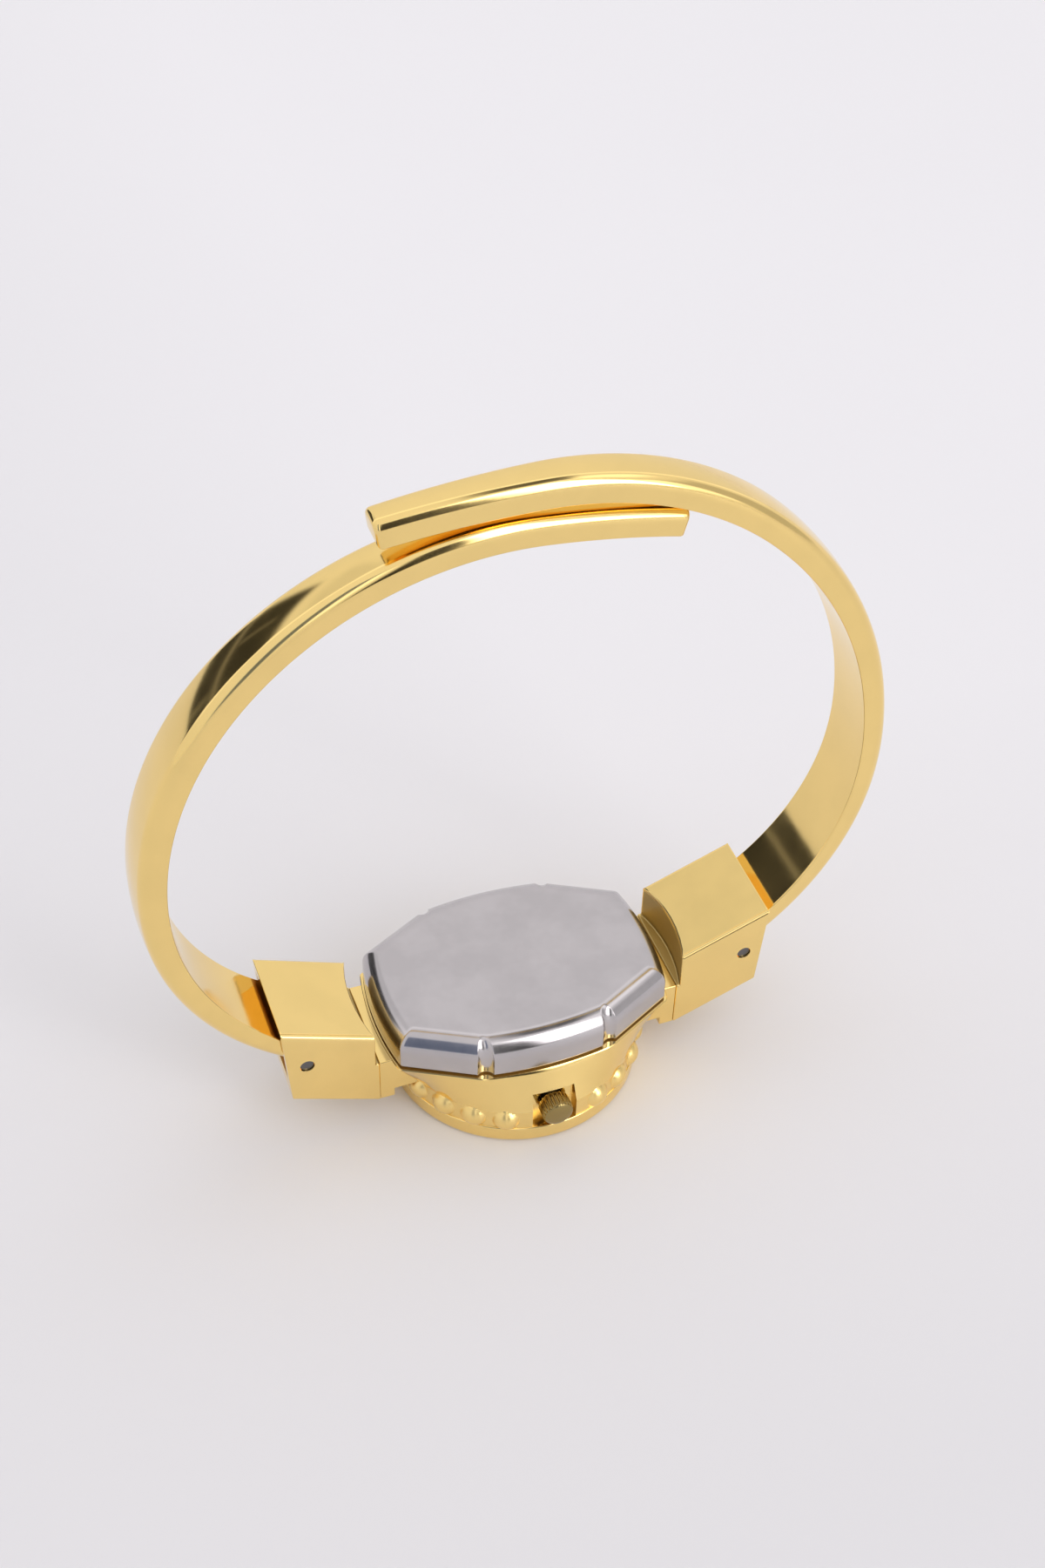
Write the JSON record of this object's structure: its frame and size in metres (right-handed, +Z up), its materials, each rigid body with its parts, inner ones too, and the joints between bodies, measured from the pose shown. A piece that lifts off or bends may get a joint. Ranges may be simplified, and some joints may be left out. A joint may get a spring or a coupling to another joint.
{
  "type": "bangle wristwatch",
  "caption": "Ladies' bangle watch lying dial down: gold bangle arms on sprung hinges, steel back, beaded case and a quartz movement inside.",
  "frame": {"origin": "centre of the bezel's resting rim, on the dial's axis", "axes": "+X along the bangle from the left hinge block to the right one, +Y across it away from the crown, +Z up from the dial to the steel back and the ring"},
  "size_m": [0.0604, 0.0225, 0.0592],
  "materials": {
    "gold_plate": "polished gold plate on brass",
    "polished_steel": "polished stainless steel",
    "movement_steel": "nickel-plated steel",
    "wheel_brass": "plain brass",
    "crystal": "clear mineral glass",
    "seal_rubber": "black nitrile",
    "dial_lacquer": "cream lacquer",
    "coil_copper": "enamelled copper wire",
    "board_green": "green board",
    "chip_black": "black potting",
    "holder_plastic": "white moulded plastic"
  },
  "bodies": {
    "head": {"case_body": "gold_plate", "bezel": "gold_plate", "crystal": "crystal", "crystal_gasket": "seal_rubber", "case_back": "polished_steel", "case_back_gasket": "seal_rubber", "dial": "dial_lacquer", "dial_markers": "gold_plate", "main_plate": "wheel_brass", "train_bridge": "movement_steel", "movement_screws": "movement_steel", "movement_holder": "holder_plastic", "stator": "movement_steel", "coil": "coil_copper", "circuit_board": "board_green", "ic_chip": "chip_black", "quartz_can": "movement_steel", "battery": "polished_steel", "battery_clamp": "movement_steel", "crown_tube": "movement_steel", "left_hinge_block": "gold_plate", "right_hinge_block": "gold_plate", "left_hinge_pin": "gold_plate", "right_hinge_pin": "gold_plate", "left_hinge_spring": "movement_steel", "right_hinge_spring": "movement_steel"},
    "right_arm": {"right_arm": "gold_plate"},
    "left_arm": {"left_arm": "gold_plate"},
    "minute": {"minute_hand": "gold_plate", "center_wheel": "wheel_brass"},
    "hour": {"hour_hand": "gold_plate", "hour_wheel": "wheel_brass"},
    "minute_wheel": {"minute_wheel": "wheel_brass"},
    "third_wheel": {"third_wheel": "wheel_brass"},
    "rotor": {"rotor": "movement_steel"},
    "clutch": {"sliding_pinion": "movement_steel"},
    "crown": {"crown": "gold_plate", "stem": "movement_steel", "crown_gasket": "seal_rubber"},
    "setting_lever": {"setting_lever": "movement_steel"}
  },
  "joints": [
    {"name": "right_arm_hinge", "type": "hinge", "parent": "head", "child": "right_arm", "pos_m": [0.01895, 0, 0.0093], "axis": [0, 1, 0], "range_deg": [0, 40], "stiffness_Nm_per_rad": 0.008, "springref_deg": -8.59},
    {"name": "left_arm_hinge", "type": "hinge", "parent": "head", "child": "left_arm", "pos_m": [-0.01895, 0, 0.0093], "axis": [0, 1, 0], "range_deg": [-20, 0], "stiffness_Nm_per_rad": 0.008, "springref_deg": 8.59},
    {"name": "minute_turn", "type": "hinge", "parent": "head", "child": "minute", "pos_m": [0, 0, 0.002], "axis": [0, 0, 1], "continuous": true},
    {"name": "hour_turn", "type": "hinge", "parent": "head", "child": "hour", "pos_m": [0, 0, 0.0022], "axis": [0, 0, 1], "continuous": true},
    {"name": "minute_wheel_turn", "type": "hinge", "parent": "head", "child": "minute_wheel", "pos_m": [0.0013, 0.00225, 0.0029], "axis": [0, 0, 1], "continuous": true},
    {"name": "third_wheel_turn", "type": "hinge", "parent": "head", "child": "third_wheel", "pos_m": [-0.00248, -0.0009, 0.0047], "axis": [0, 0, 1], "continuous": true},
    {"name": "rotor_turn", "type": "hinge", "parent": "head", "child": "rotor", "pos_m": [-0.00364, 0.0011, 0.0045], "axis": [0, 0, 1], "continuous": true},
    {"name": "crown_turn", "type": "hinge", "parent": "head", "child": "clutch", "pos_m": [0, -0.0031, 0.0037], "axis": [0, 1, 0], "continuous": true},
    {"name": "crown_pull", "type": "slide", "parent": "clutch", "child": "crown", "axis": [0, -1, 0], "range_m": [0, 0.0009]},
    {"name": "setting_lever_turn", "type": "hinge", "parent": "head", "child": "setting_lever", "pos_m": [0.0022, -0.0044, 0.00435], "axis": [0, 0, 1], "range_deg": [0, 24.5]}
  ],
  "couplings": [
    {"joint": "left_arm_hinge", "follows": "right_arm_hinge", "ratio": -0.5},
    {"joint": "hour_turn", "follows": "minute_turn", "ratio": 0.083333},
    {"joint": "minute_wheel_turn", "follows": "minute_turn", "ratio": -0.33333},
    {"joint": "third_wheel_turn", "follows": "minute_turn", "ratio": -5},
    {"joint": "rotor_turn", "follows": "minute_turn", "ratio": 30},
    {"joint": "setting_lever_turn", "follows": "crown_pull", "rad_per_m": 468.29}
  ]
}
